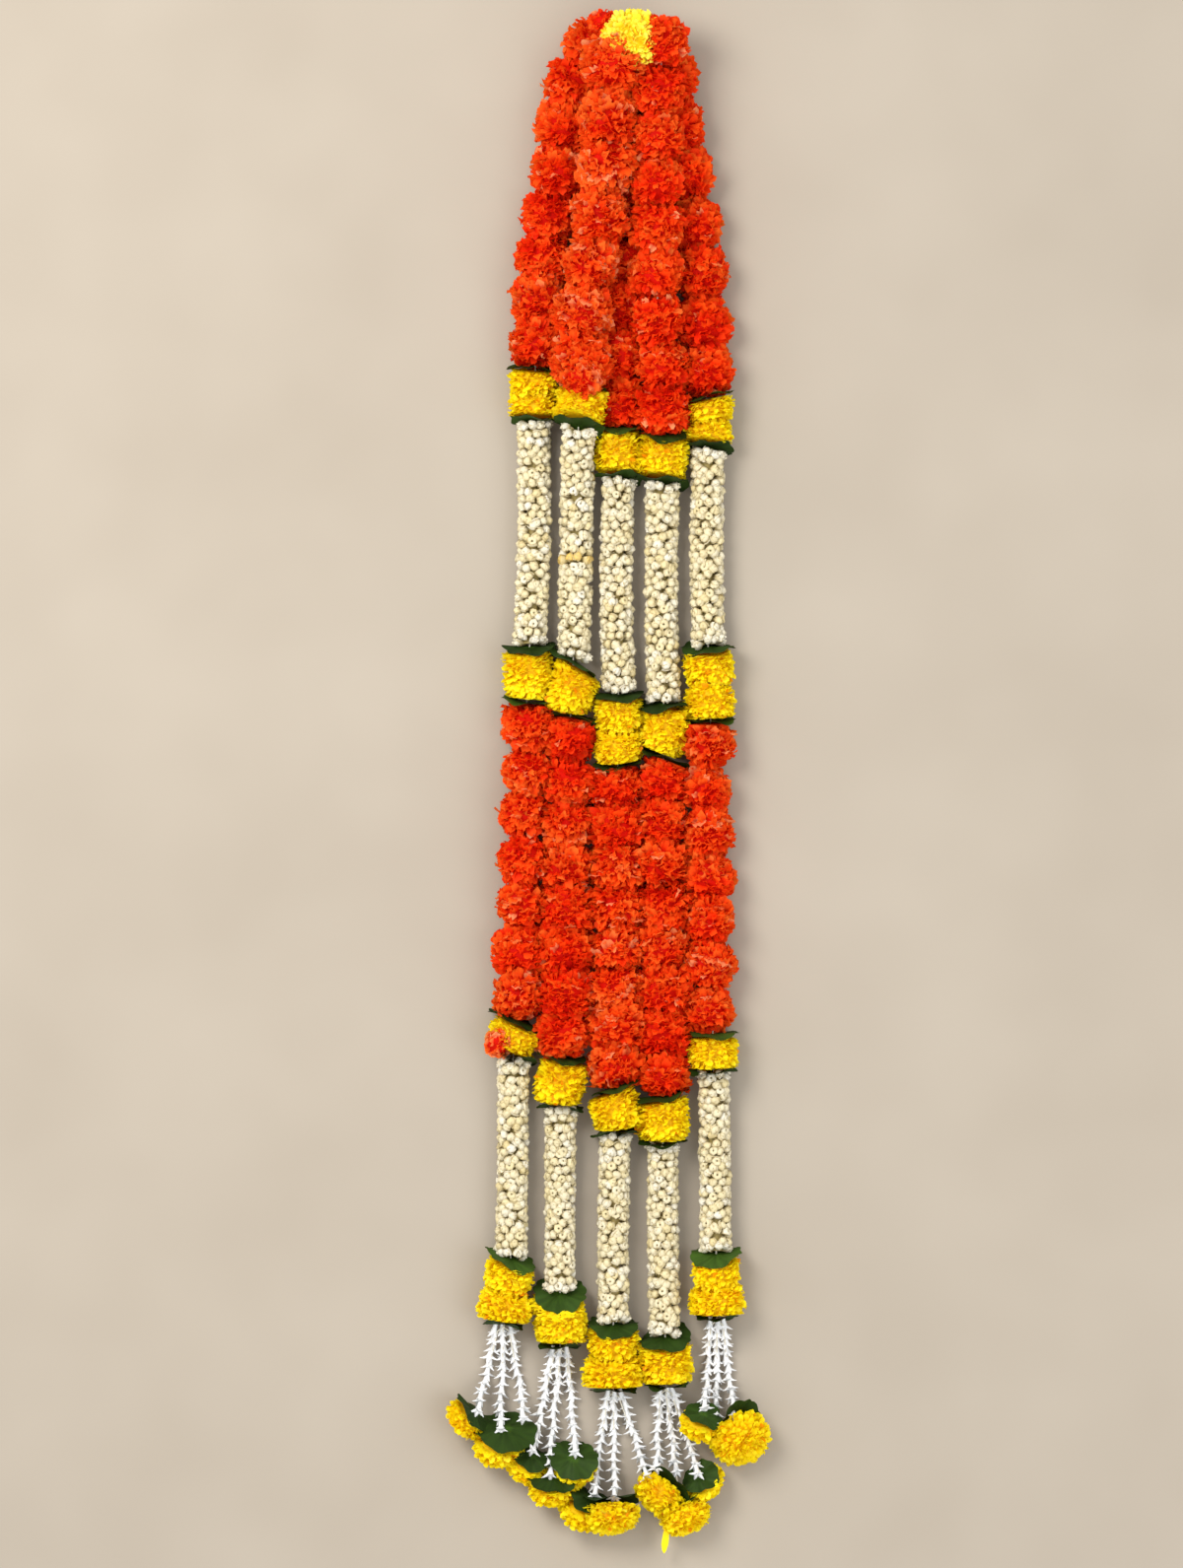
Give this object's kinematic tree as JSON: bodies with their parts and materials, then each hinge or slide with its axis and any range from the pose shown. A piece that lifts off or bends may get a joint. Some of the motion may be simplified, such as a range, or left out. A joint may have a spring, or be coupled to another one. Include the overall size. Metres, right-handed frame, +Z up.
{
  "type": "marigold garland",
  "caption": "Flower garland: strands of orange and yellow marigolds and jasmine, tied together at the top, with tuberose tassels that end in marigolds; lies flat.",
  "frame": {"origin": "on the surface that the garland lies on, under the middle of its bounding box", "axes": "+Y along the strands towards the tied end, +X across the strands, +Z up from the surface"},
  "size_m": [0.3096, 1.4992, 0.0812],
  "materials": {
    "orange_petals": "matte",
    "yellow_petals": "matte",
    "lemon_petals": "matte",
    "jasmine_buds": "matte",
    "tuberose_florets": "matte",
    "leaf": "matte",
    "cotton_thread": "matte"
  },
  "bodies": {
    "root": {"strand_1_bottom_yellow_marigolds": "yellow_petals", "strand_1_end_marigold_1": "yellow_petals", "strand_1_end_marigold_2": "yellow_petals", "strand_1_lower_jasmine": "jasmine_buds", "strand_1_lower_orange_marigolds": "orange_petals", "strand_1_lower_yellow_marigold": "yellow_petals", "strand_1_middle_yellow_marigolds": "yellow_petals", "strand_1_tuberose_tassel": "tuberose_florets", "strand_1_upper_jasmine": "jasmine_buds", "strand_1_upper_orange_marigolds": "orange_petals", "strand_1_upper_yellow_marigolds": "yellow_petals", "strand_2_bottom_yellow_marigolds": "yellow_petals", "strand_2_end_marigold_1": "yellow_petals", "strand_2_end_marigold_2": "yellow_petals", "strand_2_end_marigold_3": "yellow_petals", "strand_2_lower_jasmine": "jasmine_buds", "strand_2_lower_orange_marigolds": "orange_petals", "strand_2_lower_yellow_marigold": "yellow_petals", "strand_2_middle_yellow_marigolds": "yellow_petals", "strand_2_tuberose_tassel": "tuberose_florets", "strand_2_upper_jasmine": "jasmine_buds", "strand_2_upper_orange_marigolds": "orange_petals", "strand_2_upper_yellow_marigolds": "yellow_petals", "strand_3_bottom_yellow_marigolds": "yellow_petals", "strand_3_end_marigold_1": "yellow_petals", "strand_3_end_marigold_2": "yellow_petals", "strand_3_lower_jasmine": "jasmine_buds", "strand_3_lower_orange_marigolds": "orange_petals", "strand_3_lower_yellow_marigold": "yellow_petals", "strand_3_middle_yellow_marigolds": "yellow_petals", "strand_3_tuberose_tassel": "tuberose_florets", "strand_3_upper_jasmine": "jasmine_buds", "strand_3_upper_orange_marigolds": "orange_petals", "strand_3_upper_yellow_marigolds": "yellow_petals", "strand_4_bottom_yellow_marigolds": "yellow_petals", "strand_4_end_marigold_1": "yellow_petals", "strand_4_end_marigold_2": "yellow_petals", "strand_4_end_marigold_3": "yellow_petals", "strand_4_lower_jasmine": "jasmine_buds", "strand_4_lower_orange_marigolds": "orange_petals", "strand_4_lower_yellow_marigold": "yellow_petals", "strand_4_middle_yellow_marigolds": "yellow_petals", "strand_4_tuberose_tassel": "tuberose_florets", "strand_4_upper_jasmine": "jasmine_buds", "strand_4_upper_orange_marigolds": "orange_petals", "strand_4_upper_yellow_marigolds": "yellow_petals", "strand_5_bottom_yellow_marigolds": "yellow_petals", "strand_5_end_marigold_1": "yellow_petals", "strand_5_end_marigold_2": "yellow_petals", "strand_5_lower_jasmine": "jasmine_buds", "strand_5_lower_orange_marigolds": "orange_petals", "strand_5_lower_yellow_marigold": "yellow_petals", "strand_5_middle_yellow_marigolds": "yellow_petals", "strand_5_tuberose_tassel": "tuberose_florets", "strand_5_upper_jasmine": "jasmine_buds", "strand_5_upper_orange_marigolds": "orange_petals", "strand_5_upper_yellow_marigolds": "yellow_petals", "tied_threads": "cotton_thread", "top_yellow_marigold": "lemon_petals"}
  },
  "joints": []
}
